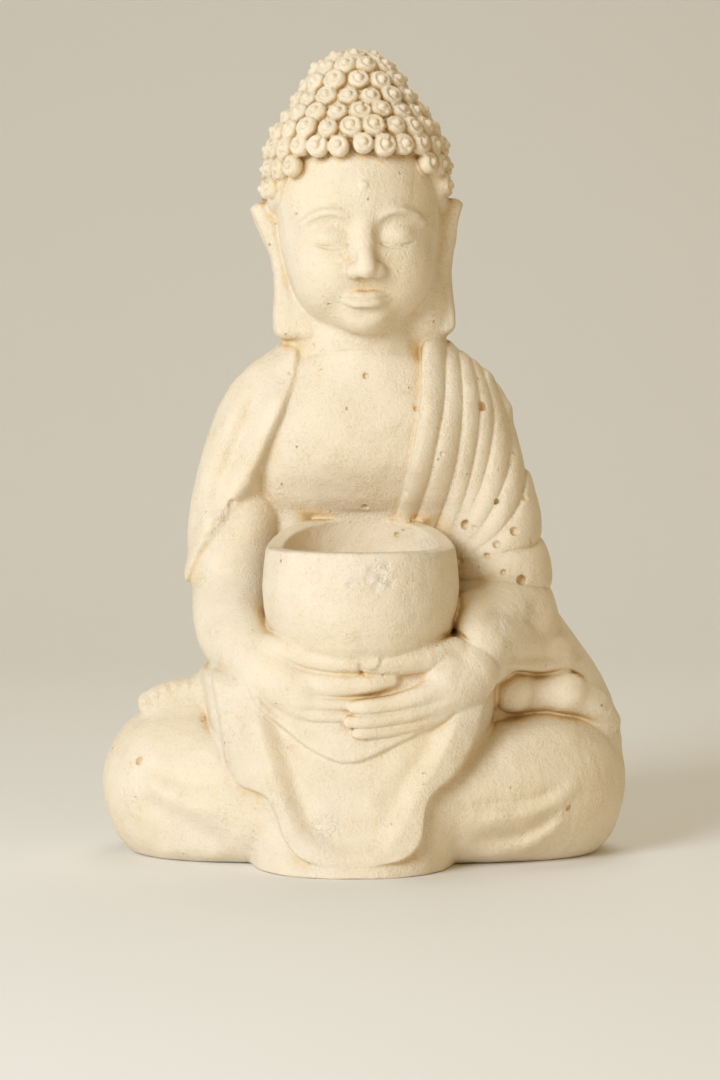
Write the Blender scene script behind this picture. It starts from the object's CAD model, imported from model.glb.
"""A seated cast-stone figure with a tealight bowl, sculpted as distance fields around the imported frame.

All sculpting is in millimetres in the row frame. Every form is a function that gives the distance
to its surface at many points. The forms are blended into one skin, and each piece is the share of
that skin that is nearest to its own form, as a closed solid that tucks a hair under its neighbours.
"""
import math
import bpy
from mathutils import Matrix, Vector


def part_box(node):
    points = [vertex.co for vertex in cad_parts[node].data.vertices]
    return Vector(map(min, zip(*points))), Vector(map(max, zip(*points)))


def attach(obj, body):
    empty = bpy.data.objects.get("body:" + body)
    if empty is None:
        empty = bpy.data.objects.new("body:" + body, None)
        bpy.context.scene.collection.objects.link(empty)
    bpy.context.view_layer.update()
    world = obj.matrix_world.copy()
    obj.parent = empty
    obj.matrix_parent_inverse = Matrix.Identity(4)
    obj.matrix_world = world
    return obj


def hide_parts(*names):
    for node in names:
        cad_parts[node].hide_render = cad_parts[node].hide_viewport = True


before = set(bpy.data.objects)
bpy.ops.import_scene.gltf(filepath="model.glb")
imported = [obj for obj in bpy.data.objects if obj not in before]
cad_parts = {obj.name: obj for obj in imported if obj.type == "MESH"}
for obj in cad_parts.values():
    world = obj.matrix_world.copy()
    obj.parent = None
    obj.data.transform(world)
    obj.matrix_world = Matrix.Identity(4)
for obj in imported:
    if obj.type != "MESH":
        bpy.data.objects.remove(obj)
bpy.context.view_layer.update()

from concurrent.futures import ThreadPoolExecutor
from itertools import product

import bpy
import numpy as np
import openvdb
from mathutils import Vector

# Lengths are in millimetres.
FAR = 60.0  # farther than any distance that matters
VOXEL = 0.5
HEAD_VOXEL = 0.4
BLOCK = 8  # voxels along the side of a block, the unit that is sampled or skipped
BLOCKS_IN_CHUNK = 6  # blocks along the side of a chunk, the unit one thread works on
HALF_DIAGONAL = 0.87  # from the middle of a cube to its corner, over its side
STEEPEST = 1.25  # how much faster than distance a form's value may change
BLEND_REACH = 9.0  # a form farther away than this does not touch the skin
TONGUE = 1.0  # how far a piece runs on under its neighbours
TUCK = 0.16  # how quickly that tongue sinks below the skin
SPACE_CELL = 1.2
SPACE_LOW, SPACE_HIGH = (-92, -68, -6), (92, 62, 258)
WORK_LOW, WORK_HIGH = (-92.0, -68.0, -6.0), (92.0, 62.0, 256.0)
HEAD_LOW, HEAD_HIGH = (-42.0, -40.0, 150.0), (42.0, 42.0, 256.0)
HEM_REACHES = ((2.0, 0.4), (4.5, 0.35), (9.0, 0.25))  # how far to look for stone ahead, and its weight


def corners(node):
    """A CAD node's lowest and highest corners, in millimetres."""
    low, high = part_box(node)
    return np.array(low) * 1000, np.array(high) * 1000


def middle(node):
    low, high = corners(node)
    return (low + high) / 2


# ---------------------------------------------------------------- distance tools
def smin(a, b, k):
    gap = np.maximum(k - np.abs(a - b), 0)
    return np.minimum(a, b) - gap * gap * (0.25 / k)


def smax(a, b, k):
    return -smin(-a, -b, k)


def step(value, low, high):
    t = np.clip((value - low) / (high - low), 0, 1)
    return t * t * (3 - 2 * t)


def lerp(value, xs, ys):
    return np.interp(value, xs, ys).astype(np.float32)


def smooth_path(points, cuts):
    """A Catmull-Rom curve through the points, with `cuts` steps between each two."""
    p = np.array(points, float)
    p = np.vstack([2 * p[0] - p[1], p, 2 * p[-1] - p[-2]])
    out = []
    for i in range(1, len(p) - 2):
        for t in np.arange(cuts) / cuts:
            a = 2 * p[i]
            b = (p[i + 1] - p[i - 1]) * t
            c = (2 * p[i - 1] - 5 * p[i] + 4 * p[i + 1] - p[i + 2]) * t * t
            d = (3 * p[i] - p[i - 1] - 3 * p[i + 1] + p[i + 2]) * t**3
            out.append((a + b + c + d) / 2)
    out.append(p[-2])
    return np.array(out)


def ball(p, centre, radii, turn=0.0, axis="y"):
    """An ellipsoid, turned about one axis by `turn` degrees."""
    x, y, z = (p[i] - centre[i] for i in range(3))
    if turn:
        c, s = math.cos(math.radians(turn)), math.sin(math.radians(turn))
        if axis == "y":
            x, z = c * x - s * z, s * x + c * z
        elif axis == "z":
            x, y = c * x + s * y, -s * x + c * y
        else:
            y, z = c * y + s * z, -s * y + c * z
    rx, ry, rz = radii
    k0 = np.sqrt((x / rx) ** 2 + (y / ry) ** 2 + (z / rz) ** 2)
    k1 = np.sqrt((x / rx**2) ** 2 + (y / ry**2) ** 2 + (z / rz**2) ** 2) + 1e-6
    return k0 * (k0 - 1) / k1


def tube(p, rings, cuts=3):
    """A round limb through rings (x, y, z, radius), with round ends."""
    x, y, z = p
    path = smooth_path(rings, cuts)
    best = np.full(x.shape, FAR, np.float32)
    for a, b in zip(path[:-1], path[1:]):
        d = b[:3] - a[:3]
        t = ((x - a[0]) * d[0] + (y - a[1]) * d[1] + (z - a[2]) * d[2]) / max(float(d @ d), 1e-9)
        t = np.clip(t, 0, 1)
        gap = np.sqrt((x - a[0] - t * d[0]) ** 2 + (y - a[1] - t * d[1]) ** 2 + (z - a[2] - t * d[2]) ** 2)
        np.minimum(best, gap - (a[3] + (b[3] - a[3]) * t), out=best)
    return best


def stack(p, rows, power=2.0, cap=5.0):
    """A body through level ellipses (z, centre x, centre y, x radius, y radius), lowest first."""
    x, y, z = p
    table = smooth_path(rows, 6)
    cx, cy, rx, ry = (lerp(z, table[:, 0], table[:, i]) for i in (1, 2, 3, 4))
    u, v = np.abs(x - cx) / rx, np.abs(y - cy) / ry
    k0 = (u**power + v**power) ** (1 / power) + 1e-6
    k1 = np.sqrt((u / rx) ** 2 + (v / ry) ** 2) + 1e-6
    side = k0 * (k0 - 1) / k1
    return smax(smax(side, z - rows[-1][0], cap), rows[0][0] - z, cap)


# ---------------------------------------------------------------- flat maps seen from the front
CELL = 0.3
MAP_X0, MAP_Z0 = -96.0, -9.0
MAP_X, MAP_Z = np.meshgrid(
    np.arange(MAP_X0, 96, CELL, dtype=np.float32), np.arange(MAP_Z0, 262, CELL, dtype=np.float32),
    indexing="ij"
)


def sample(flat, x, z):
    """The map's value at x and z."""
    u = np.clip((x - MAP_X0) / CELL, 0, flat.shape[0] - 2)
    v = np.clip((z - MAP_Z0) / CELL, 0, flat.shape[1] - 2)
    i, j = u.astype(np.int32), v.astype(np.int32)
    u, v = u - i, v - j
    low = flat[i, j] * (1 - v) + flat[i, j + 1] * v
    high = flat[i + 1, j] * (1 - v) + flat[i + 1, j + 1] * v
    return low * (1 - u) + high * u


def line_gap(points, cuts=4):
    """Distance to a curve drawn on the map, and how far along it the nearest point is, 0 to 1."""
    path = smooth_path(points, cuts)
    best = np.full(MAP_X.shape, 1e6, np.float32)
    along = np.zeros(MAP_X.shape, np.float32)
    for i, (a, b) in enumerate(zip(path[:-1], path[1:])):
        d = b - a
        t = np.clip(((MAP_X - a[0]) * d[0] + (MAP_Z - a[1]) * d[1]) / max(float(d @ d), 1e-9), 0, 1)
        gap = (MAP_X - a[0] - t * d[0]) ** 2 + (MAP_Z - a[1] - t * d[1]) ** 2
        near = gap < best
        best = np.where(near, gap, best)
        along = np.where(near, (i + t) / (len(path) - 1), along)
    return np.sqrt(best), along


def stroke(points, height, width, taper=0.25):
    """A soft ridge, or a groove for a height below 0, that fades out towards its ends."""
    gap, along = line_gap(points)
    ends = step(np.minimum(along, 1 - along), -0.02, taper)
    return (height * np.exp(-((gap / width) ** 2)) * ends).astype(np.float32)


def region(points, cuts=1):
    """Signed distance to a closed outline on the map, below 0 inside."""
    path = smooth_path(list(points), cuts) if cuts > 1 else np.array(points, float)
    path = np.vstack([path, path[:1]])
    best = np.full(MAP_X.shape, 1e6, np.float32)
    inside = np.zeros(MAP_X.shape, bool)
    for a, b in zip(path[:-1], path[1:]):
        d = b - a
        t = np.clip(((MAP_X - a[0]) * d[0] + (MAP_Z - a[1]) * d[1]) / max(float(d @ d), 1e-9), 0, 1)
        gap = (MAP_X - a[0] - t * d[0]) ** 2 + (MAP_Z - a[1] - t * d[1]) ** 2
        best = np.minimum(best, gap)
        if a[1] != b[1]:
            crosses = (MAP_Z >= min(a[1], b[1])) & (MAP_Z < max(a[1], b[1]))
            inside ^= crosses & (MAP_X < a[0] + (MAP_Z - a[1]) * d[0] / (b[1] - a[1]))
    gap = np.sqrt(best)
    return np.where(inside, -gap, gap)


def scallops(valleys, height, steepness=0.25):
    """Rounded pleats between valley curves. Narrow pleats stand lower."""
    first = np.full(MAP_X.shape, 1e6, np.float32)
    second = first.copy()
    for points in valleys:
        gap, _ = line_gap(points)
        second = np.minimum(second, np.maximum(first, gap))
        first = np.minimum(first, gap)
    width = first + second
    share = first / width
    rise = np.sqrt(np.clip(np.sin(np.pi * share), 0, 1))
    return (np.minimum(height, width * steepness) * rise).astype(np.float32)


# ---------------------------------------------------------------- anchors from the frame
BOWL = middle("bowl")
BOWL_TOP = corners("bowl")[1][2]
HEAD = middle("scalp")
HEAD_TURN, HEAD_ROLL = 4.5, -1.5  # degrees
CHIN_Z = corners("head")[0][2]

# Outlines on the front map. The figure's left is at +x.
LEFT_EDGE = [
    (18.5, 168), (17.8, 163), (17.8, 154), (17.5, 144.7), (16.6, 135.5), (14.4, 123.2), (12.3, 112.5),
    (10, 104.5),
]
RIGHT_EDGE = [
    (-19.3, 168), (-19.7, 164.7), (-20.3, 157), (-21.5, 147.8), (-24, 138.6), (-27.1, 129.3),
    (-30.1, 120.7), (-32.8, 114),
]
HEM = [(-37.4, 110.6), (-42.1, 106), (-47.6, 99.1), (-51.7, 93.6), (-53.8, 88.3), (-56, 82), (-60, 78)]
SLEEVE_LOW = [
    (23.3, 68.2), (32.5, 66.3), (39.2, 62.1), (47.8, 59.6), (60, 58.4), (67.7, 56.5), (72.9, 49.8),
]
VALLEYS = [
    [(17.8, 168), (17.8, 154), (17.5, 144.7), (16.6, 135.5), (14.4, 123.2), (12.3, 112.5), (9, 98)],
    [
        (26.4, 166), (25.4, 153.9), (25.1, 144.7), (24.2, 137.1), (22.4, 127.9), (20.5, 118.7),
        (18.1, 110.4), (14, 98),
    ],
    [(29, 162), (30.2, 149.3), (30.4, 138.6), (29.4, 127.8), (27.6, 118.6), (25.2, 109.4), (20, 94)],
    [(32.5, 159), (35.7, 144.7), (35.7, 133.9), (33.8, 121.6), (30.8, 109.3), (25, 91)],
    [(36, 154), (40.1, 140.1), (39.7, 129.3), (37, 116.9), (32.7, 106.2), (26, 90)],
    [(41, 147), (45.4, 133.8), (45.4, 123), (42, 112.2), (35.8, 101.4), (26, 89)],
    [(48, 134), (50.5, 121.4), (48.6, 110.5), (43, 101.9), (35.3, 95.1), (27, 88.5)],
    [(60, 103), (53, 96.6), (45.2, 94.8), (37.5, 92.6), (27, 87.5)],
    [(62, 82), (51.4, 84.2), (43.7, 85.5), (35.9, 85.8), (26, 85)],
]
# The apron's front face ends in an S-shaped edge on each side, and its middle is dished.
APRON_RIGHT = [
    (-48, 64), (-46.3, 56.5), (-43.9, 44.5), (-42.4, 33), (-40.8, 28.2), (-37.6, 25.6), (-33, 24.6),
    (-29.6, 23.2), (-27, 19.2), (-25.2, 14.3), (-23.4, 10.1), (-19.6, 6), (-14, 4),
]
APRON_LEFT = [
    (-6, 3.4), (2, 3.6), (10.2, 5), (15, 7.6), (17.5, 11.5), (18.2, 16), (18.9, 21), (21.2, 24.8),
    (26.6, 28.8), (31, 34.4), (34.5, 41.5), (37.5, 52.9), (40, 64),
]
DISH_RIGHT = [(-32, 60), (-30.5, 51), (-28.6, 42), (-25.5, 32.4), (-22.3, 22.7), (-18.5, 14.3), (-12, 9.5)]
DISH_LEFT = [(-3, 8), (5, 10), (11, 18), (15, 26.3), (19.5, 33), (24.5, 42), (28, 52), (30, 60)]
UPPER_FOLD = [
    (-36, 60), (-32, 50.5), (-24, 43.8), (-16.8, 38.4), (-8.9, 34.6), (-2.9, 34.1), (3.1, 36), (9.2, 39),
    (16.4, 42.4), (23, 46), (28, 60),
]

left_cloth = region(LEFT_EDGE + [(7, 92), (16, 74)] + SLEEVE_LOW + [(95, 40), (95, 175), (18.5, 175)])
right_cloth = region(RIGHT_EDGE + HEM + [(-95, 70), (-95, 175), (-19.3, 175)])
pleats = scallops(VALLEYS, 2.3)
right_folds = (
    stroke([(-27, 152), (-34, 140), (-38.5, 129), (-44.5, 115), (-49, 103)], -1.5, 2.6)
    + stroke([(-36, 146), (-43, 132), (-49, 116)], 0.7, 3.6)
    + stroke([(-24, 148), (-28, 138), (-33, 126), (-37.5, 117), (-43, 109)], 1.8, 4.2)
    + stroke([(-50, 112), (-53, 100), (-57, 88)], -0.9, 2.2)
)
apron_face = region(APRON_RIGHT + APRON_LEFT, 3)
apron_relief = (
    -3.2 * (1 - step(region(DISH_RIGHT + DISH_LEFT, 3), -4.0, 2.5))
    + 1.5 * (1 - step(region(UPPER_FOLD, 3), -0.5, 1.0))
    + stroke([
        (-34, 58), (-31, 48), (-24, 41), (-16, 35.6), (-8, 31.6), (-1, 31), (7, 35), (14, 39),
    ], -0.6, 2.4)
    + stroke([(15, 38), (9, 31), (4, 24), (0, 17)], 0.8, 3.4)
    + stroke([(-40, 52), (-38.5, 42), (-36, 32)], 0.7, 3.4)
    + stroke([(-14, 26), (-10, 18), (-4, 13)], 0.4, 3.0)
).astype(np.float32)
leg_folds = (
    stroke([(-66, 28), (-57, 26.5), (-50, 26), (-42, 25)], -1.3, 2.4)
    + stroke([(-71, 21), (-60, 15.5), (-51, 11), (-40, 7)], -1.9, 4.0)
    + stroke([(-71, 28), (-60, 21.5), (-50, 18.5), (-40, 17)], 0.8, 3.0)
    + stroke([(-66, 3), (-54, 3), (-40, 2)], 0.8, 3.0)
    + stroke([(30, 15.5), (41.9, 16), (51.2, 17), (60, 20.5), (68, 27)], 1.0, 2.6)
    + stroke([(30, 20), (42, 20), (52, 21), (61, 25)], -0.9, 1.8)
    + stroke([(31, 9.6), (40, 9.4), (47, 10), (54, 13), (61, 18.5)], -1.4, 2.4)
    + stroke([(32, 3.4), (42, 4), (50, 6), (57, 10.5), (63, 16.5)], 1.1, 2.6)
    + stroke([(38, 36), (48, 39), (60, 40), (70, 35)], 1.0, 4.0)
).astype(np.float32)
SLEEVE_EDGE = [
    (24, 84), (27.5, 72.5), (33, 67), (38.5, 62.4), (43, 59.6), (48, 58.4), (56.3, 57), (64.7, 57),
    (69.2, 54.2), (73.6, 48.4), (78.2, 43.3),
]
sleeve_cloth = region(SLEEVE_EDGE + [(96, 40), (96, 120), (24, 120)])
sleeve_folds = (
    stroke([(34, 77), (43, 76), (52, 73), (62, 71)], -1.1, 2.0)
    + stroke([(40, 72), (50, 68.5), (60, 65.5), (68, 60)], 0.8, 3.0)
    + stroke([(42, 64.5), (53, 62.5), (64, 61.4), (72, 53)], -0.8, 1.6)
    + stroke([(42, 61), (53, 59.4), (65, 59), (73, 51)], 0.6, 1.4)
).astype(np.float32)
back_folds = (
    stroke([(-30, 150), (-34, 120), (-38, 85), (-42, 50)], 2.2, 3.6)
    + stroke([(-18, 150), (-20, 115), (-24, 80), (-30, 45)], 2.0, 3.6)
    + stroke([(-4, 150), (-5, 110), (-8, 75), (-14, 38)], 2.2, 3.8)
    + stroke([(10, 150), (12, 115), (10, 80), (4, 40)], 2.2, 3.6)
    + stroke([(24, 150), (28, 115), (28, 80), (22, 42)], 2.2, 3.6)
    + stroke([(33, 140), (42, 112), (44, 82), (40, 50)], 1.8, 3.6)
).astype(np.float32)


# ---------------------------------------------------------------- forms
TORSO = [
    (38, 0, 14, 38, 24), (64, 0, 15, 37, 19), (90, 0, 13, 36, 17), (104, 0, 13, 36, 17.2),
    (112, 0, 11, 37, 21.5), (121, 0, 9, 38, 25.5), (130, 0, 8, 38, 26), (139, 0, 7, 36, 24.5),
    (147, 0, 6, 30, 21), (156, 0, 5, 22, 16.5),
]
RIGHT_ARM = [
    (-19, 6, 148, 11.5), (-29, 7, 137, 14.2), (-36, 7, 120, 14), (-40, 6, 102, 14), (-42, 3, 86, 13),
]
LEFT_ARM = [
    (19, 6, 148, 11.5), (28.5, 7, 138, 13.8), (35, 6, 120, 13.2), (39, 4, 101, 13.4), (42.5, 1, 84, 13.2),
    (45, -3, 72, 12.5),
]


def bust(p, arm):
    return smin(stack(p, TORSO, 2.3), tube(p, arm), 7)


def facing(y, start=8.0, soft=8.0):
    """1 on the front half, 0 on the back."""
    return step(start - y, 0, soft)


def torso(p):
    return stack(p, TORSO, 2.3)


def neck(p):
    cloth = stack(p, [
        (140, 0, 5, 24, 18), (150, 0, 4.5, 21, 17), (160, 0, 3.5, 18.5, 17), (172, 0, 3, 17.5, 17),
        (184, 0, 2, 17, 17),
    ])
    x, y, z = p
    web = ball((np.abs(x), y, z), (18.5, 2.5, 170), (8.5, 9.5, 17))
    cloth = smin(cloth, web, 4)
    crease = 0.7 * np.exp(-(((z - 156.5 + (x / 16) ** 2) / 0.9) ** 2)) * facing(y, -4, 6)
    return cloth + crease


def robe_left(p):
    x, y, z = p
    lift = 1.6 + sample(pleats, x, z) * facing(y, 12, 10)
    return smax(bust(p, LEFT_ARM) - lift, sample(left_cloth, x, z), 1.4)


def robe_right(p):
    x, y, z = p
    cloth = bust(p, RIGHT_ARM) - 1.5 - sample(right_folds, x, z) * facing(y, 12, 10)
    depth = lerp(z, [96, 108, 118, 130, 145], [1.2, 2.2, 3.8, 2.8, 1.2])
    wall = (sample(right_cloth, x, z) + 0.9 * (cloth + depth)) * 0.74
    return smax(cloth, wall, 1.0)


def robe_back(p):
    """The cloak down the back, cut off where the front cloth takes over."""
    x, y, z = p
    rows = [
        (34, 0, 14, 50, 32), (66, 0, 14, 48, 27), (97, 0, 13, 46, 25.5), (121, 0, 11, 43, 25),
        (137, 0, 9, 36, 22.5), (150, 0, 7, 26, 18), (160, 0, 5, 20, 15),
    ]
    cloth = stack(p, rows, 2.2) - sample(back_folds, x, z) * step(y, 8, 22)
    return smax(cloth, 9 - y, 7)


def right_arm(p):
    return tube(p, [
        (-38, 5, 105, 12.2), (-40, 4, 93, 12.6), (-40.8, 1, 80.5, 13), (-39.5, -10, 70.5, 12.6),
        (-33.5, -24, 63.5, 11.3), (-26, -33, 60.5, 10.2),
    ])


def left_arm(p):
    return tube(p, [(45, -4, 72, 11), (39, -19, 66, 10.4), (30, -31, 61, 10), (24, -37, 59, 9.4)])


def left_sleeve(p):
    """The sleeve draped over the left forearm, its hem above the foot, and a tail behind the thigh."""
    x, y, z = p
    tail = tube(p, [
        (46, 4, 73, 13), (55, 5, 60, 13.5), (63, 4, 48, 13.6), (68, 2, 37, 12.6), (69.5, 0, 27, 11.8),
    ])
    drape = tube(p, [(45, 1, 79, 13), (42, -10, 74, 13), (38, -21, 69.5, 11.6), (34.5, -29, 67, 10.2)], 5)
    drape = smin(drape, tube(p, [
        (40, -16, 64, 11.6), (48.5, -9, 61.5, 11.2), (56, -4, 58.5, 10.8), (62, -1, 51, 10.6),
        (66.5, 1, 42, 11),
    ], 5), 5)
    drape = smin(drape, ball(p, (32.5, -20, 73.5), (8, 12, 8.5)), 5)
    drape = drape - sample(sleeve_folds, x, z) * facing(y, 14, 10)
    wall = (sample(sleeve_cloth, x, z) + 0.45 * (drape + 2.2)) * 0.88
    return smin(smax(drape, wall, 0.8), tail, 2.0)


def fingers(p, rows):
    """Fingers side by side, with a clean groove between each two."""
    out = tube(p, rows[0])
    for rings in rows[1:]:
        out = smin(out, tube(p, rings), 0.35)
    return out


def left_hand(p):
    """The outer hand: its fingers lie over the other hand's, and its thumb has a nail."""
    palm = tube(p, [(31, -33.5, 60, 10), (25, -37.4, 56.5, 8.8), (19, -39, 52.5, 7.6)], 9)
    heel = tube(p, [(29, -35.5, 54.5, 7.4), (23, -38.6, 50, 6), (17, -40.4, 47, 4.6)], 9)
    rows = [
        [
            (24, -42, 56.4, 4.2), (17, -45.2, 53.4, 3.4), (9, -46.9, 51.5, 2.7), (1, -48.2, 50.5, 2.5),
            (-2.8, -48, 50.3, 2.1),
        ],
        [
            (24, -41.4, 51.6, 3.6), (17, -45, 49, 2.8), (8, -47.2, 46.9, 2.3), (0, -48.4, 46.1, 2.2),
            (-4.2, -48.2, 46, 1.9),
        ],
        [
            (23, -40.8, 48, 3.2), (16, -44.2, 45.2, 2.4), (8, -46.3, 43.4, 2.1), (0.5, -47.5, 42.6, 2.0),
            (-2.2, -47.4, 42.5, 1.7),
        ],
        [(21, -40, 45.4, 2.6), (14.5, -42.8, 42.3, 2.2), (9, -44.6, 40.8, 1.9), (3, -45.8, 40.2, 1.6)],
    ]
    thumb = tube(p, [
        (27, -37.5, 65.6, 5.0), (18, -42.6, 64.6, 4.6), (9, -46.2, 63.5, 3.9), (1.8, -47.7, 63.4, 3.2),
    ])
    nail = smax(ball(p, (2.0, -49.6, 64.3), (3.0, 3.2, 2.6)), -51.45 - p[1], 0.3)
    shape = smin(smin(smin(palm, heel, 3), fingers(p, rows), 1.6), thumb, 1.0)
    return smin(shape, nail, 0.15)


def right_hand(p):
    """The inner hand, with a filling between the palms that carries the bowl."""
    palm = tube(p, [(-32, -29, 62, 9.6), (-26, -36, 58, 9.8), (-18.5, -39.2, 54, 8.8)], 9)
    filling = ball(p, (0, -38, 55.4), (25, 8.6, 12.5))
    rows = [
        [(-19, -42.4, 57.6, 4.3), (-9, -45.6, 56.9, 3.9), (1, -46.4, 57.4, 3.4), (8, -46, 58.6, 2.6)],
        [(-22, -42, 53, 3.6), (-15, -45.4, 51.4, 2.5), (-8, -46.2, 51.1, 2.2), (0, -46.2, 51, 2.0)],
        [(-22, -41.4, 49.4, 3.2), (-15, -45, 47.8, 2.3), (-8, -45.6, 47.4, 2.1), (0, -45.6, 47.2, 1.9)],
        [(-21, -40.4, 46.4, 2.8), (-14.5, -43.8, 44.6, 2.1), (-8, -44.8, 44, 2.0), (0, -45, 43.5, 1.8)],
    ]
    thumb = tube(p, [
        (-31, -32, 67, 4.4), (-26, -38, 67, 4.6), (-19, -42, 66, 4.5), (-10, -45.8, 64.4, 4.0),
        (-3.2, -47.4, 63.7, 3.3),
    ])
    shape = smin(smin(palm, filling, 3), fingers(p, rows), 1.6)
    return smin(shape, thumb, 1.0)


def bowl(p):
    x, y, z = p
    rho = np.sqrt((x - BOWL[0]) ** 2 + (y - BOWL[1]) ** 2)
    profile = np.array([
        (58, 15), (61, 19.5), (64, 23.5), (68, 26.4), (73, 28.4), (79, 29.6), (85, 30), (91, 29.6),
        (97, 28.8), (104, 28), (112, 27.4),
    ])
    outer = (rho - lerp(z, profile[:, 0], profile[:, 1])) * 0.95
    rise = step((y - BOWL[1]) / 30, -0.15, 1.0) * 8.2
    top = z - (BOWL_TOP - 7.2 + rise)
    outer = smax(smax(outer, top * 0.97, 1.1), 60 - z, 3)
    return smax(outer, -hollow(p), 0.9)


def hollow(p):
    """The inside of the bowl."""
    x, y, z = p
    rho = np.sqrt((x - BOWL[0]) ** 2 + (y - BOWL[1]) ** 2)
    side = rho - lerp(z, [70, 76, 80, 90, 97, 118], [17.5, 20, 21.4, 22.6, 23.0, 23.0])
    return smax(smax(side, 76 - z, 5), z - 107, 2)


def leg(p, side):
    x, y, z = p
    q = (x * side, y, z)
    shape = tube(q, [
        (-26, 24, 24, 24), (-48, 15, 23, 25), (-57, -1, 22, 25), (-47, -13, 20.5, 22.8),
        (-29, -23, 19, 19.5), (-13, -30, 18, 17),
    ], 8)
    shape = smin(shape, ball(q, (-50, 2, 9), (27, 27, 14)), 6)
    return shape - sample(leg_folds, x, z) * facing(y, 4, 10)


def right_leg(p):
    return leg(p, 1)


def left_leg(p):
    return leg(p, -1)


def left_foot(p):
    foot = tube(p, [(-44, -6, 52, 7.4), (-53, -6, 49.6, 5.6), (-60, -6, 48.8, 5.0), (-66.4, -6.5, 47, 4.0)])
    for toe in range(5):
        share = toe / 4
        tip = (-55.2 - 13.0 * share, -7, 52.8 - 4.6 * share**2)
        foot = smin(foot, ball(p, tip, (1.9, 4.0, 1.7 - 0.3 * share)), 1.3)
    sole = tube(p, [(-42, -8, 44, 5), (-52, -9, 43.6, 4.2), (-62, -8, 42.6, 3.4)])
    return smin(foot, sole, 0.8)


def right_foot(p):
    heel = ball(p, (46.2, -15, 51.8), (7.0, 8.4, 6.8))
    foot = tube(p, [(50, -12, 50.6, 5.8), (61, -12, 50.8, 5.8), (71, -7.5, 46.6, 5.4), (76, -2, 41, 4.4)])
    foot = smin(foot, ball(p, (62.5, -13, 51), (6.2, 6, 5.8)), 2.5)
    sole = tube(p, [(39, -12, 45, 5), (50, -8.5, 44, 5), (62, -7, 44, 5), (70, -4, 42, 5)])
    return smin(smin(heel, foot, 2.4), sole, 0.9)


def apron(p):
    """A flap with a dished front face, standing proud of a narrower block that it hangs over."""
    x, y, z = p
    face = [
        (-6, -1, -20, 34, 37.2), (4, -1, -20, 35, 37), (12, -1, -20, 36, 36), (22, -2, -20, 38, 34),
        (36, -3, -18, 43, 32), (50, -3, -14, 48, 31.5), (60, -3, -10, 50, 30.5),
    ]
    block = [
        (-6, -3.5, -20, 31, 38), (1.5, -3.5, -20, 31.5, 37.4), (7, -2.5, -20, 34, 34),
        (12, -1.5, -20, 36, 32.3), (22, -2, -20, 39, 30.5), (36, -4, -18, 42, 28), (50, -4, -14, 45, 27.5),
        (60, -4, -10, 47, 27),
    ]
    flap = stack(p, face, 3.0) - sample(apron_relief, x, z) * facing(y, -18, 10)
    flap = smax(flap, sample(apron_face, x, z), 1.3)
    return smin(stack(p, block, 2.4), flap, 1.2)


def hips(p):
    rows = [
        (-6, 0, 12, 56, 37), (0, 0, 12, 57, 38), (17, 0, 12, 59, 38), (38, 0, 12, 50, 33),
        (58, 0, 13, 42, 28),
    ]
    x, y, z = p
    return stack(p, rows, 2.2) - sample(back_folds, x, z) * 0.6 * step(y, 8, 22)


# ---------------------------------------------------------------- head
def on_head(p):
    """Points in the head's own axes: +u to its left, -v to its front, w up."""
    x, y, z = p
    a, r = math.radians(HEAD_TURN), math.radians(HEAD_ROLL)
    dx, dy, dz = x - HEAD[0], y - 1.0, z - CHIN_Z
    u, v = dx * math.cos(a) + dy * math.sin(a), -dx * math.sin(a) + dy * math.cos(a)
    return u * math.cos(r) - dz * math.sin(r), v, u * math.sin(r) + dz * math.cos(r) + CHIN_Z


HAIR_FRONT = 216.0  # height of the hairline over the forehead
THIRD = (HAIR_FRONT - CHIN_Z) / 3
BROW, NOSE = HAIR_FRONT - THIRD, CHIN_Z + THIRD
EYE, MOUTH = BROW - 5.6, NOSE - 6.2


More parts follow.
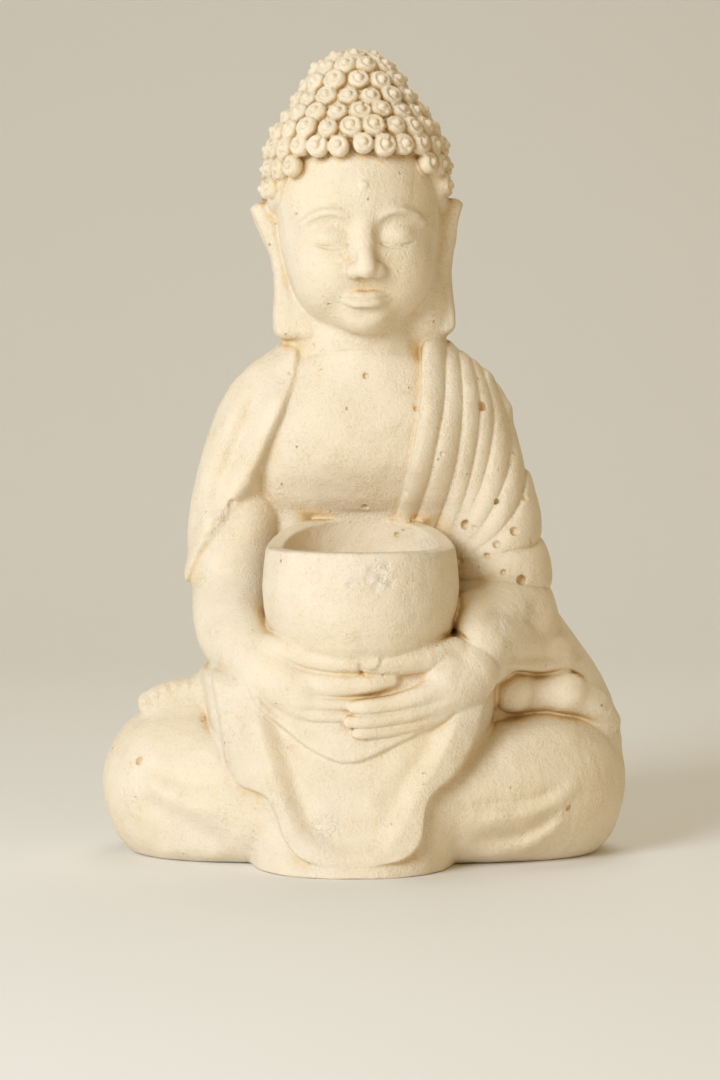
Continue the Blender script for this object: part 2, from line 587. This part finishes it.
def head(p):
    q = on_head(p)
    u, v, w = q
    m = (np.abs(u), v, w)  # mirrored, for what is the same on both sides
    shape = ball(q, (0, -2, 201), (25.4, 24.6, 33))
    shape = smin(shape, ball(q, (0, -5, 187), (22.5, 22, 26)), 5)
    shape = smin(shape, ball(m, (10, -13.5, 181), (10.5, 11.5, 12)), 6)
    shape = smin(shape, ball(q, (0, -17.6, 167.6), (7.6, 7, 5.8)), 5)
    # brow arches, sockets, closed lids
    brow = tube(m, [
        (3.2, -25.6, BROW - 3.6, 0.6), (5.6, -26.2, BROW - 0.4, 0.8), (10, -25.6, BROW + 1.6, 0.8),
        (15, -22.9, BROW + 0.8, 0.7), (18.6, -19.4, BROW - 1.6, 0.4),
    ])
    shape = smin(shape, brow, 2.4)
    shape = smax(shape, -ball(m, (9.6, -28.8, EYE + 0.8), (7.4, 4.4, 4.4)), 3.6)
    shape = smin(shape, ball(m, (9.4, -20.9, EYE - 0.4), (6.2, 5.0, 4.6)), 1.2)
    shape = smin(shape, ball(m, (9.4, -21.6, EYE - 5.0), (5.6, 3.0, 1.9)), 2.0)
    lash = tube(m, [
        (4.4, -25.3, EYE - 2.5, 0.2), (6.6, -25.8, EYE - 3.2, 0.42), (9.8, -25.7, EYE - 3.6, 0.5),
        (13, -24.3, EYE - 3.1, 0.42), (15.2, -23.0, EYE - 2.3, 0.2),
    ])
    shape = smax(shape, -lash, 0.6)
    # nose
    bridge = tube(q, [
        (0, -24.8, BROW - 2, 2.1), (0, -27.0, EYE - 2, 2.2), (0, -29.2, NOSE + 6.5, 2.6),
        (0, -30.4, NOSE + 3, 3.1),
    ])
    shape = smin(shape, bridge, 3.0)
    shape = smin(shape, ball(m, (3.6, -27.4, NOSE + 2.3), (2.5, 3.2, 2.4)), 1.8)
    shape = smax(shape, -ball(m, (1.9, -29.2, NOSE - 0.3), (0.9, 1.3, 0.7)), 0.7)
    # philtrum and lips
    shape = smax(shape, -ball(q, (0, -28.4, MOUTH + 3.8), (1.1, 1.3, 1.9)), 1.8)
    upper = tube(m, [
        (0, -25.9, MOUTH + 0.8, 1.25), (2.2, -25.8, MOUTH + 1.1, 1.25), (4.6, -24.8, MOUTH + 0.8, 1.0),
        (7.0, -23.2, MOUTH + 0.5, 0.5),
    ])
    lower = tube(m, [
        (0, -25.7, MOUTH - 1.6, 1.6), (3, -25.1, MOUTH - 1.4, 1.5), (6.2, -23.4, MOUTH - 0.3, 0.6),
    ])
    shape = smin(smin(shape, upper, 1.8), lower, 1.5)
    part = tube(m, [
        (0, -27.3, MOUTH - 0.2, 0.3), (3, -26.6, MOUTH, 0.3), (6, -24.9, MOUTH + 0.1, 0.3),
        (7.8, -23.8, MOUTH + 0.6, 0.15),
    ])
    shape = smax(shape, -part, 0.5)
    return smax(shape, -ball(m, (0, -25.3, MOUTH - 4.6), (5, 1.4, 1.3)), 2.2)


def urna(p):
    q = on_head(p)
    disc = ball(q, (0, -25.4, BROW + 9.4), (1.9, 1.6, 1.9))
    return smax(disc, -ball(q, (0, -28.0, BROW + 9.4), (1.1, 1.2, 1.1)), 0.5)


def ear(p, side, spread):
    """An ear with a long lobe. Its top stands away from the head; `spread` sets the lobe further out."""
    u, v, w = on_head(p)
    u = u * side + spread * (1 - step(w, 186, 199))
    q = (u, v, w)
    edge = lerp(
        w, [158, 161.5, 164, 168, 174, 181, 187, 192, 197, 201.5, 204.5],
        [-24.6, -26.4, -27.3, -27.3, -26.8, -26.7, -27.6, -29.6, -31.6, -33.2, -32.4],
    )
    centre = lerp(w, [160, 175, 190, 203], [-2.0, -1.0, 2.0, 4.5])
    half = lerp(w, [158, 163, 170, 180, 195, 204], [3.5, 5.0, 4.6, 4.4, 7.2, 6.0])
    shape = smax((edge - u) * 0.93, np.abs(v - centre) - half, 3.2)
    shape = smax(smax(shape, w - 203.6, 2.6), 160.6 - w, 3.0)
    shape = smax(shape, u + 15, 2)
    groove = tube(q, [(-31.4, -3.4, 201.4, 0.5), (-30.2, -4.6, 196, 0.9), (-27.9, -4.4, 189, 0.6)])
    slit = tube(q, [(-24.2, -6.0, 181, 0.3), (-24.6, -6.6, 172, 0.6), (-25.2, -7.0, 165, 0.3)])
    shape = smax(smax(shape, -groove, 1.2), -slit, 1.2)
    bowl_of_ear = ball(q, (-31.6, 1.5, 191), (2.6, 3.6, 6.5))
    gutter = tube(q, [
        (-34.4, 2, 201, 0.8), (-34.2, 7.4, 199.5, 1.1), (-32.4, 8.6, 193, 1.1), (-29.4, 7.0, 186, 0.8),
    ])
    return smax(smax(shape, -bowl_of_ear, 1.6), -gutter, 1.2)


def right_ear(p):
    return ear(p, 1, 0.0)


def left_ear(p):
    return ear(p, -1, 2.2)


HAIR_TOP = 248.0
FRONT_ROW = 219.2  # height of the lowest full row of curls
ROW_PITCH, CURL_PITCH, CURL_RADIUS, DRIFT = 5.9, 6.9, 3.45, 0.35
HAIR_SHAPE = smooth_path([
    (160, 18), (170, 22), (182, 26), (192, 27.6), (204, 28), (213, 27.3), (218, 26.6), (223, 25.2),
    (227, 22.6), (232, 18.8), (237, 15.6), (241.5, 12.8), (245, 9.4), (247.4, 5.2), (248.2, 0.5),
], 5)


def scalp(q):
    """The domed skin that the curls stand on, in the head's axes."""
    u, v, w = q
    rho = np.sqrt(u * u + v * v)
    side = (rho - lerp(w, HAIR_SHAPE[:, 0], HAIR_SHAPE[:, 1])) * 0.86
    return smax(side, w - HAIR_TOP, 1.0)


def hairline(u, v):
    """Height of the hair's lower edge around the head."""
    turn = np.degrees(np.abs(np.arctan2(u, -v)))
    return lerp(
        turn, [0, 35, 50, 60, 68, 78, 105, 135, 180], [216.2, 215.2, 212, 206, 199, 197, 191, 173, 167],
    )


def curl_places():
    """Where each curl stands on the scalp: centre, outward direction and starting turn."""
    path = HAIR_SHAPE[::-1]
    run = np.concatenate([[0], np.cumsum(np.hypot(np.diff(path[:, 0]), np.diff(path[:, 1])))])
    first = np.interp(-FRONT_ROW, -path[:, 0], run)
    places = []
    ring = -int(first / ROW_PITCH)
    while first + ring * ROW_PITCH < run[-1]:
        here = first + ring * ROW_PITCH
        w, rho = np.interp(here, run, path[:, 0]), np.interp(here, run, path[:, 1])
        w2, rho2 = np.interp(here + 0.8, run, path[:, 0]), np.interp(here + 0.8, run, path[:, 1])
        tilt = math.atan2(rho2 - rho, w - w2)
        count = max(1, round(2 * math.pi * rho / CURL_PITCH))
        for i in range(count):
            turn = 2 * math.pi * (i + 0.5 * (ring % 2)) / count
            u, v = rho * math.sin(turn), -rho * math.cos(turn)
            out = np.array([
                math.cos(tilt) * math.sin(turn), -math.cos(tilt) * math.cos(turn), math.sin(tilt),
            ])
            behind_ear = abs(u) > 19 and -9 < v < 9 and w < 205
            if w > hairline(np.array(u), np.array(v)) + 0.6 and not behind_ear:
                start = (len(places) * 2.399) % (2 * math.pi)
                drift = np.array([math.sin(start * 3), math.cos(start * 5), math.sin(start * 7)]) * DRIFT
                places.append((np.array([u, v, w]) + drift, out, start))
        ring += 1
    places.append((np.array([0, 0, 247.6]), np.array([0, 0, 1.0]), 0.0))
    return places


CURLS = curl_places()


def hair(p):
    q = on_head(p)
    u, v, w = q
    inner = smax(scalp((u, v * 1.04, w)), (hairline(u, v) + 3.4 - w) * 0.9, 3.0)
    low = np.array([u.min(), v.min(), w.min()]) - 5
    high = np.array([u.max(), v.max(), w.max()]) + 5
    for centre, out, start in CURLS:
        if np.any(centre < low) or np.any(centre > high):
            continue
        du, dv, dw = u - centre[0], v - centre[1], w - centre[2]
        near = (du * du + dv * dv + dw * dw) < (CURL_RADIUS + 1.45) ** 2
        if not near.any():
            continue
        du, dv, dw = du[near], dv[near], dw[near]
        side = np.cross(out, (0, 0, 1.0)) if abs(out[2]) < 0.95 else np.array([1.0, 0, 0])
        side /= np.linalg.norm(side)
        other = np.cross(out, side)
        a = du * side[0] + dv * side[1] + dw * side[2]
        b = du * other[0] + dv * other[1] + dw * other[2]
        c = du * out[0] + dv * out[1] + dw * out[2]
        r = np.sqrt(a * a + b * b)
        turn = (np.arctan2(b, a) + start + math.pi) % (2 * math.pi) - math.pi
        size = CURL_RADIUS + 0.18 * math.sin(start * 4)
        dome = np.sqrt(a * a + b * b + ((c + 0.2) * 1.05) ** 2) - size
        dome = smax(dome, c - 2.5, 0.8)
        groove = np.sqrt((r - 1.75 - 0.13 * turn) ** 2 + ((c - 2.6) * 0.8) ** 2) - 0.78 - 0.09 * turn
        dome = smax(dome, -groove, 0.3)
        nub = np.sqrt(a * a + b * b + (c - 1.8) ** 2) - 1.2
        dome = smin(dome, nub, 0.25)
        inner[near] = smin(inner[near], dome, 0.35)
    return inner


# ---------------------------------------------------------------- the pieces
# name, form, blend with what is already there, head start in the contest for shared stone, CAD nodes
PIECES = [
    ("torso", torso, 1.0, 0.0, ["torso"]),
    ("hips", hips, 5.0, 0.0, ["hips"]),
    ("robe_back", robe_back, 4.0, 0.0, ["robe_back"]),
    ("neck", neck, 3.0, 1.0, ["neck"]),
    ("head", head, 2.0, 2.0, ["head"]),
    ("hair", hair, 0.8, 3.0, ["scalp", "hair_curls"]),
    ("urna", urna, 0.3, 4.0, ["urna"]),
    ("right_ear", right_ear, 0.9, 3.0, ["right_ear"]),
    ("left_ear", left_ear, 0.9, 3.0, ["left_ear"]),
    ("robe_left", robe_left, 0.9, 1.5, ["robe_left_shoulder", "robe_left_front", "robe_left_collar"]),
    ("robe_right", robe_right, 0.9, 1.5, ["robe_right_shoulder", "robe_right_collar"]),
    ("right_forearm", right_arm, 1.6, 1.5, ["right_forearm"]),
    ("left_leg", left_leg, 4.0, 0.5, ["left_leg"]),
    ("right_leg", right_leg, 4.0, 0.5, ["right_leg"]),
    ("apron", apron, 1.4, 1.5, ["apron", "apron_right_fold", "apron_left_fold"]),
    ("left_forearm", left_arm, 1.6, 1.5, ["left_forearm"]),
    ("left_sleeve", left_sleeve, 1.4, 1.8, ["left_sleeve"]),
    ("left_foot", left_foot, 3.6, 2.5, ["left_foot"]),
    ("right_foot", right_foot, 1.6, 2.5, ["right_foot"]),
    ("right_hand", right_hand, 1.2, 2.0, ["right_hand"]),
    ("left_hand", left_hand, 0.5, 3.0, ["left_hand"]),
    ("bowl", bowl, 0.9, 3.0, ["bowl"]),
]
NAMES = [row[0] for row in PIECES]
HEAD_GROUP = ("head", "hair", "urna", "right_ear", "left_ear")

# Casting bubbles and chips on the front: x, z, radius, depth
BUBBLES = [
    (x, z, r, 1.35 * r) for x, z, r in [
        (0.6, 149, 1.0), (0.3, 108.5, 1.0), (10.2, 99.5, 0.9), (31.5, 102.8, 1.5), (36.5, 139.5, 1.5),
        (46.5, 101, 1.4), (38, 93.5, 0.9), (48.5, 86, 1.6), (41, 110, 0.9), (30, 91.5, 1.0), (41, 97, 1.2),
        (24, 125, 0.7), (50, 111, 0.8), (-43, 139, 0.5), (16, 139, 0.7), (17, 137, 0.6), (-69, 31, 1.3),
        (62.5, 17.5, 1.0), (43, 88.5, 0.9), (34, 102, 0.8), (13, 113, 0.8), (47, 125, 0.7), (52, 98, 0.7),
        (-23, 150, 0.7),
    ]
] + [
    (3.0, 92.2, 5.0, 0.5), (6.2, 90.6, 5.0, 0.55), (4.2, 87.6, 4.5, 0.45), (7.8, 93.4, 3.5, 0.4),
    (1.4, 89.4, 3.5, 0.35), (8.6, 88.4, 3.0, 0.35), (-4.6, 88.6, 4.0, 0.25), (-43.5, 106.5, 3.0, 0.6),
    (-46.5, 103.0, 3.0, 0.5), (-40.5, 108.6, 2.5, 0.5), (-49.5, 98.5, 2.5, 0.5),
]
# Where the surface is worn to a paler, rougher stone: x, z, radius
WORN = [
    (5.0, 90.4, 6.5), (-4.6, 88.6, 2.5), (20, 97, 5), (-11.5, 15.5, 6.5), (-45, 105, 4), (42, 74, 4),
    (12, 233, 4), (-62, 60, 3),
]


def fields_at(p, names):
    """Each named form's distance at the points."""
    return {row[0]: row[1](p).astype(np.float32) for row in PIECES if row[0] in names}


def reach_boxes():
    """Each form's box, grown by the distance at which it still matters."""
    cell = 4.0
    axes = [np.arange(lo, hi, cell, dtype=np.float32) for lo, hi in ((-96, 97), (-70, 66), (-8, 260))]
    p = tuple(g.ravel() for g in np.meshgrid(*axes, indexing="ij"))
    boxes = {}
    for row in PIECES:
        near = row[1](p) < BLEND_REACH
        boxes[row[0]] = tuple((a[near].min() - 3, a[near].max() + 3) for a in p)
    return boxes


def names_near(p):
    """The forms that can matter to these points."""
    out = []
    for name in NAMES:
        spans = REACH[name]
        if all(a.min() < high and a.max() > low for a, (low, high) in zip(p, spans)):
            out.append(name)
    return out


def combine(p, found):
    """The blended skin, and each piece's own share of it."""
    skin = None
    for name, _, blend, _, _ in PIECES:
        if name in found:
            skin = found[name] if skin is None else smin(skin, found[name], blend)
    if "bowl" in found:
        skin = smax(skin, -hollow(p), 1.2)
    skin = smax(skin, -p[2], 0.8)
    x, y, z = p
    waves = np.sin(x * 0.53 + 2.3 * np.sin(z * 0.21)) * np.sin(z * 0.47 + 2.7 * np.sin(y * 0.23 + x * 0.11))
    skin = skin + 0.05 * waves
    for centre, radius in PITS:
        gap = (x - centre[0]) ** 2 + (y - centre[1]) ** 2 + (z - centre[2]) ** 2
        near = gap < (radius + 3) ** 2
        if near.any():
            skin[near] = smax(skin[near], radius - np.sqrt(gap[near]), 0.3)
    return skin


def shares(skin, found, bounds=False):
    """Each piece's own distance. With bounds, also where its surface could lie."""
    heads = {row[0]: row[3] for row in PIECES}
    names = list(found)
    rows = np.stack([found[n] - heads[n] for n in names])
    if len(names) == 1:
        return {names[0]: skin}
    order = np.partition(rows, 1, axis=0)
    least, next_least = order[0], order[1]
    out = {}
    for i, name in enumerate(names):
        lead = rows[i] - np.where(rows[i] <= least, next_least, least)
        if bounds:
            out[name] = (skin, lead - TONGUE)
        else:
            out[name] = np.maximum(skin + TUCK * np.clip(lead, 0, 2 * TONGUE) ** 2, lead - TONGUE)
    return out


PITS = []


def find_pits():
    """Puts each bubble on the skin, straight back from the front."""
    along = np.arange(SPACE_LOW[1] + 4, 20, 1.0, dtype=np.float32)
    for x, z, radius, depth in BUBBLES:
        p = (np.full_like(along, x), along, np.full_like(along, z))
        skin = combine(p, fields_at(p, NAMES))
        hit = np.nonzero(skin < 0)[0]
        if len(hit) and hit[0] > 0:
            i = hit[0]
            a, b = skin[i - 1], skin[i]
            surface = along[i - 1] + a / (a - b)
            PITS.append((np.array([x, surface - (radius - depth), z]), radius))


def sculpt(wanted, voxel):
    """Samples the wanted pieces on one lattice and returns {name: (points, quads)} in millimetres."""
    low, high = (HEAD_LOW, HEAD_HIGH) if wanted == HEAD_GROUP else (WORK_LOW, WORK_HIGH)
    low, high = np.array(low), np.array(high)
    size = BLOCK * voxel
    counts = np.ceil((high - low) / size).astype(int)
    centre = [low[i] + (np.arange(counts[i]) + 0.5) * size - voxel / 2 for i in range(3)]
    grid = np.meshgrid(*[c.astype(np.float32) for c in centre], indexing="ij")
    flat = tuple(g.ravel() for g in grid)
    coarse = fields_at(flat, NAMES)
    skin = combine(flat, coarse)
    share = shares(skin, coarse, bounds=True)
    reach = size * HALF_DIAGONAL * STEEPEST + 1.5
    active = np.zeros(counts, bool)
    store, spans = {}, {}
    for name in wanted:
        depth, lead = share[name]
        maybe = np.maximum(depth, lead / 2) < reach
        sure = (depth < -reach) & (lead < -2 * reach)
        active |= (maybe & ~sure).reshape(counts)
        where = np.nonzero(maybe.reshape(counts))
        first = np.maximum([w.min() - 1 for w in where], 0)
        last = np.minimum([w.max() + 2 for w in where], counts)
        cut = tuple(slice(a, b) for a, b in zip(first, last))
        sign = np.where(sure.reshape(counts)[cut], -1, 1).astype(np.float32)
        store[name] = np.repeat(np.repeat(np.repeat(sign, BLOCK, 0), BLOCK, 1), BLOCK, 2)
        spans[name] = (first, last)
    lane = np.arange(BLOCK, dtype=np.float32) * voxel
    inner = np.stack(np.meshgrid(lane, lane, lane, indexing="ij"), -1).reshape(-1, 3)
    blocks = np.argwhere(active)
    keys = blocks // BLOCKS_IN_CHUNK
    order = np.lexsort(keys.T)
    blocks, keys = blocks[order], keys[order]
    edges = np.nonzero(np.any(np.diff(keys, axis=0), axis=1))[0] + 1
    chunks = np.split(blocks, edges)
    near_limit = size * HALF_DIAGONAL + BLEND_REACH

    def run(chunk):
        index = tuple(chunk.T)
        names = [n for n in NAMES if coarse[n].reshape(counts)[index].min() < near_limit]
        points = (low + chunk * size)[:, None, :] + inner[None]
        points = points.reshape(-1, 3).astype(np.float32)
        p = (points[:, 0].copy(), points[:, 1].copy(), points[:, 2].copy())
        found = fields_at(p, names)
        return chunk, shares(combine(p, found), found)

    with ThreadPoolExecutor(4) as pool:
        for chunk, result in pool.map(run, chunks):
            for name, values in result.items():
                if name not in store:
                    continue
                first, last = spans[name]
                keep = np.all((chunk >= first) & (chunk < last), axis=1)
                cubes = np.clip(values, -1, 1).reshape(-1, BLOCK, BLOCK, BLOCK)
                for block, cube in zip(chunk[keep], cubes[keep]):
                    i, j, k = (block - first) * BLOCK
                    store[name][i:i + BLOCK, j:j + BLOCK, k:k + BLOCK] = cube
    meshes = {}
    for name in wanted:
        volume = openvdb.FloatGrid(1.0)
        volume.copyFromArray(store[name])
        points, _, quads = volume.convertToPolygons(isovalue=0.0, adaptivity=0.0)
        first, _ = spans[name]
        meshes[name] = (low + (first * BLOCK + points) * voxel, quads)
    return meshes


def open_space():
    """The skin's distance on one even grid, for measuring how hemmed in a point is."""
    axes = [np.arange(lo, hi, SPACE_CELL, dtype=np.float32) for lo, hi in zip(SPACE_LOW, SPACE_HIGH)]
    space = np.full([len(a) for a in axes], FAR / 2, np.float32)
    span = 22
    jobs = product(*[range(0, len(a), span) for a in axes])

    def run(job):
        cut = tuple(slice(a, a + span) for a in job)
        grid = np.meshgrid(*[a[c] for a, c in zip(axes, cut)], indexing="ij")
        p = tuple(g.ravel() for g in grid)
        names = names_near(p)
        if names:
            space[cut] = combine(p, fields_at(p, names)).reshape(grid[0].shape)

    with ThreadPoolExecutor(4) as pool:
        list(pool.map(run, jobs))
    return space


def cavity_at(points, normals, space):
    """How hemmed in each point is: 0 in the open, towards 1 in a deep recess."""
    total = np.zeros(len(points), np.float32)
    for reach, weight in HEM_REACHES:
        q = (points + normals * reach - SPACE_LOW) / SPACE_CELL
        q = np.clip(q, 0, np.array(space.shape) - 1.01)
        i = q.astype(np.int32)
        t = q - i
        value = np.zeros(len(points))
        for dx in (0, 1):
            for dy in (0, 1):
                for dz in (0, 1):
                    share = abs(1 - dx - t[:, 0]) * abs(1 - dy - t[:, 1]) * abs(1 - dz - t[:, 2])
                    value += share * space[i[:, 0] + dx, i[:, 1] + dy, i[:, 2] + dz]
        total += weight * np.clip(1 - value / reach, 0, 1)
    return total


def make_object(name, points, quads, material):
    """A closed, smooth mesh object in metres."""
    a, b, c, d = (points[quads[:, i]] for i in range(4))
    volume = np.einsum("ij,ij->i", a, np.cross(b, c)).sum() + np.einsum("ij,ij->i", a, np.cross(c, d)).sum()
    if volume < 0:
        quads = quads[:, ::-1]
    mesh = bpy.data.meshes.new(name)
    mesh.vertices.add(len(points))
    mesh.vertices.foreach_set("co", (points * 0.001).astype(np.float32).ravel())
    mesh.loops.add(quads.size)
    mesh.loops.foreach_set("vertex_index", np.ascontiguousarray(quads).astype(np.int32).ravel())
    mesh.polygons.add(len(quads))
    mesh.polygons.foreach_set("loop_start", np.arange(0, quads.size, 4, dtype=np.int32))
    mesh.polygons.foreach_set("use_smooth", np.ones(len(quads), bool))
    mesh.update(calc_edges=True)
    mesh.validate()
    mesh.materials.append(material)
    obj = bpy.data.objects.new(name, mesh)
    bpy.context.scene.collection.objects.link(obj)
    return obj


# ---------------------------------------------------------------- material
def cast_stone():
    """Cream cast stone: ochre in the recesses, chalky patches, fine grain and small pores."""
    mat = bpy.data.materials.new("cast_stone")
    mat.use_nodes = True
    nodes, links = mat.node_tree.nodes, mat.node_tree.links
    nodes.clear()

    def node(kind, **values):
        n = nodes.new(kind)
        for key, value in values.items():
            if hasattr(n, key):
                setattr(n, key, value)
            else:
                n.inputs[key.replace("_", " ")].default_value = value
        return n

    def noise(scale, detail, rough=0.55):
        n = node("ShaderNodeTexNoise", Scale=scale, Detail=detail, Roughness=rough)
        links.new(place.outputs["Object"], n.inputs["Vector"])
        return n.outputs["Fac"]

    def ramp(source, low, high, a=0.0, b=1.0):
        n = node("ShaderNodeMapRange", clamp=True)
        for key, value in zip(("From Min", "From Max", "To Min", "To Max"), (low, high, a, b)):
            n.inputs[key].default_value = value
        links.new(source, n.inputs["Value"])
        return n.outputs["Result"]

    def math_of(op, a, b):
        n = node("ShaderNodeMath", operation=op)
        for socket, value in zip(n.inputs, (a, b)):
            if isinstance(value, (int, float)):
                socket.default_value = value
            else:
                links.new(value, socket)
        return n.outputs[0]

    def mix(fac, a, b, how="MIX"):
        n = node("ShaderNodeMix", data_type="RGBA", blend_type=how)
        for socket, value in ((n.inputs[0], fac), (n.inputs[6], a), (n.inputs[7], b)):
            if isinstance(value, (int, float)):
                socket.default_value = value
            elif isinstance(value, tuple):
                socket.default_value = (*value, 1)
            else:
                links.new(value, socket)
        return n.outputs[2]

    place = node("ShaderNodeTexCoord")
    cavity = node("ShaderNodeAttribute", attribute_name="cavity").outputs["Fac"]
    worn = node("ShaderNodeAttribute", attribute_name="worn").outputs["Fac"]
    broad, patches, grain, sand = noise(28, 3), noise(110, 5, 0.6), noise(1300, 3, 0.6), noise(3200, 2, 0.7)

    cream, ochre = (0.84, 0.745, 0.605), (0.76, 0.55, 0.28)
    deep, chalk = (0.42, 0.26, 0.11), (0.88, 0.83, 0.74)
    tone = mix(ramp(broad, 0.35, 0.7), cream, (0.81, 0.695, 0.515))
    tone = mix(ramp(patches, 0.56, 0.78, 0, 0.35), tone, chalk)
    scuffs = math_of("MULTIPLY", ramp(worn, 0.0, 0.5), ramp(noise(420, 4, 0.7), 0.46, 0.56))
    tone = mix(math_of("MULTIPLY", scuffs, 0.55), tone, (0.82, 0.77, 0.69))
    specks = math_of("MULTIPLY", ramp(patches, 0.5, 0.66), ramp(noise(620, 3, 0.7), 0.52, 0.60))
    tone = mix(math_of("MULTIPLY", specks, 0.5), tone, ochre)
    recess = math_of("ADD", cavity, ramp(patches, 0.3, 0.7, -0.12, 0.12))
    tone = mix(ramp(recess, 0.35, 0.78, 0, 0.85), tone, ochre)
    tone = mix(ramp(recess, 0.72, 1.0, 0, 0.7), tone, deep)
    tone = mix(ramp(grain, 0.54, 0.74, 0, 0.42), tone, (0.70, 0.51, 0.28))
    tone = mix(ramp(sand, 0.68, 0.80, 0, 0.25), tone, deep)

    pits = node("ShaderNodeTexVoronoi", Scale=260.0)
    links.new(place.outputs["Object"], pits.inputs["Vector"])
    pores = math_of("MULTIPLY", ramp(pits.outputs["Distance"], 0.05, 0.14, 1, 0), ramp(patches, 0.56, 0.66))
    tone = mix(math_of("MULTIPLY", pores, 0.6), tone, (0.46, 0.29, 0.13))

    grit = math_of("ADD", math_of("MULTIPLY", grain, 0.6), math_of("MULTIPLY", sand, 0.3))
    height = math_of("MULTIPLY", grit, ramp(math_of("ADD", patches, cavity), 0.42, 0.8, 0.4, 1.2))
    height = math_of("ADD", height, math_of("MULTIPLY", patches, 0.6))
    height = math_of("SUBTRACT", height, math_of("MULTIPLY", pores, 1.2))
    height = math_of("ADD", height, math_of("MULTIPLY", scuffs, 0.25))
    bump = node("ShaderNodeBump", Strength=0.9, Distance=0.0007)
    links.new(height, bump.inputs["Height"])

    shader = node("ShaderNodeBsdfPrincipled")
    shader.inputs["Specular IOR Level"].default_value = 0.28
    links.new(tone, shader.inputs["Base Color"])
    links.new(ramp(grain, 0.3, 0.7, 0.78, 0.92), shader.inputs["Roughness"])
    links.new(bump.outputs["Normal"], shader.inputs["Normal"])
    out = node("ShaderNodeOutputMaterial")
    links.new(shader.outputs[0], out.inputs["Surface"])
    return mat


# ---------------------------------------------------------------- build
stone = cast_stone()
REACH = reach_boxes()
find_pits()
meshes = sculpt(tuple(n for n in NAMES if n not in HEAD_GROUP), VOXEL)
meshes.update(sculpt(HEAD_GROUP, HEAD_VOXEL))
pieces = []
for name, _, _, _, cad_nodes in PIECES:
    pieces.append(make_object(name, *meshes[name], stone))
    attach(pieces[-1], "root")
    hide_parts(*cad_nodes)


def vertex_data(mesh, source, field):
    values = np.zeros(len(mesh.vertices) * 3, np.float32)
    source.foreach_get(field, values)
    return values.reshape(-1, 3)


places = np.vstack([vertex_data(o.data, o.data.vertices, "co") for o in pieces]) * 1000
normals = np.vstack([vertex_data(o.data, o.data.vertex_normals, "vector") for o in pieces])
hemmed = cavity_at(places, normals, open_space())
worn = np.zeros(len(places), np.float32)
for x, z, radius in WORN:
    gap = np.hypot(places[:, 0] - x, places[:, 2] - z)
    worn = np.maximum(worn, step(1 - gap / radius, 0, 1) * (places[:, 1] < 0))
done = 0
for piece in pieces:
    count = len(piece.data.vertices)
    for field, values in (("cavity", hemmed), ("worn", worn)):
        piece.data.attributes.new(field, "FLOAT", "POINT").data.foreach_set(
            "value", values[done:done + count].astype(np.float32)
        )
    done += count


# ---------------------------------------------------------------- stage
def plain(name, colour, rough):
    mat = bpy.data.materials.new(name)
    mat.use_nodes = True
    shader = mat.node_tree.nodes["Principled BSDF"]
    shader.inputs["Base Color"].default_value = (*colour, 1)
    shader.inputs["Roughness"].default_value = rough
    return mat


def make_floor():
    """A pale sweep: level under the figure, then curving up behind it."""
    profile = [(-3.0, 0.0), (0.6, 0.0)]
    for i in range(1, 13):
        turn = math.radians(90 * i / 12)
        profile.append((0.6 + 0.9 * math.sin(turn), 0.9 * (1 - math.cos(turn))))
    profile.append((1.5, 3.5))
    points = [(x, y, z) for y, z in profile for x in (-4, 4)]
    faces = [(2 * i, 2 * i + 1, 2 * i + 3, 2 * i + 2) for i in range(len(profile) - 1)]
    mesh = bpy.data.meshes.new("floor")
    mesh.from_pydata(points, [], faces)
    mesh.polygons.foreach_set("use_smooth", [True] * len(faces))
    mesh.materials.append(plain("floor", (0.88, 0.875, 0.865), 0.6))
    floor = bpy.data.objects.new("floor", mesh)
    bpy.context.scene.collection.objects.link(floor)
    return floor


def area(name, place, aim, size, power, colour):
    """A round soft light at a place, turned to its aim."""
    data = bpy.data.lights.new(name, "AREA")
    data.shape, data.size, data.energy, data.color = "DISK", size, power, colour
    lamp = bpy.data.objects.new(name, data)
    lamp.location = place
    lamp.rotation_euler = (Vector(aim) - Vector(place)).to_track_quat("-Z", "Y").to_euler()
    bpy.context.scene.collection.objects.link(lamp)


bpy.context.scene.view_settings.view_transform = "Standard"
make_floor()
area("key", (-0.80, -1.05, 0.6), (0, 0, 0.12), 0.7, 15.8, (0.87, 0.935, 1.0))
area("fill", (0.8, -1.3, 0.4), (0, 0, 0.1), 0.9, 2.4, (1.0, 0.68, 0.28))
area("top", (0.1, 0.5, 1.2), (0, 0, 0.12), 0.8, 3.5, (1.0, 0.97, 0.92))
world = bpy.data.worlds.new("studio")
world.use_nodes = True
world.node_tree.nodes["Background"].inputs["Color"].default_value = (1.0, 0.82, 0.48, 1)
world.node_tree.nodes["Background"].inputs["Strength"].default_value = 0.34
bpy.context.scene.world = world

camera = bpy.data.objects.new("camera", bpy.data.cameras.new("camera"))
camera.data.lens = 106.7
camera.data.sensor_width = 36
camera.location = (0, -1.0, 0.157)
camera.rotation_euler = (Vector((-0.00125, 0, 0.0976)) - camera.location).to_track_quat("-Z", "Y").to_euler()
bpy.context.scene.collection.objects.link(camera)
bpy.context.scene.camera = camera
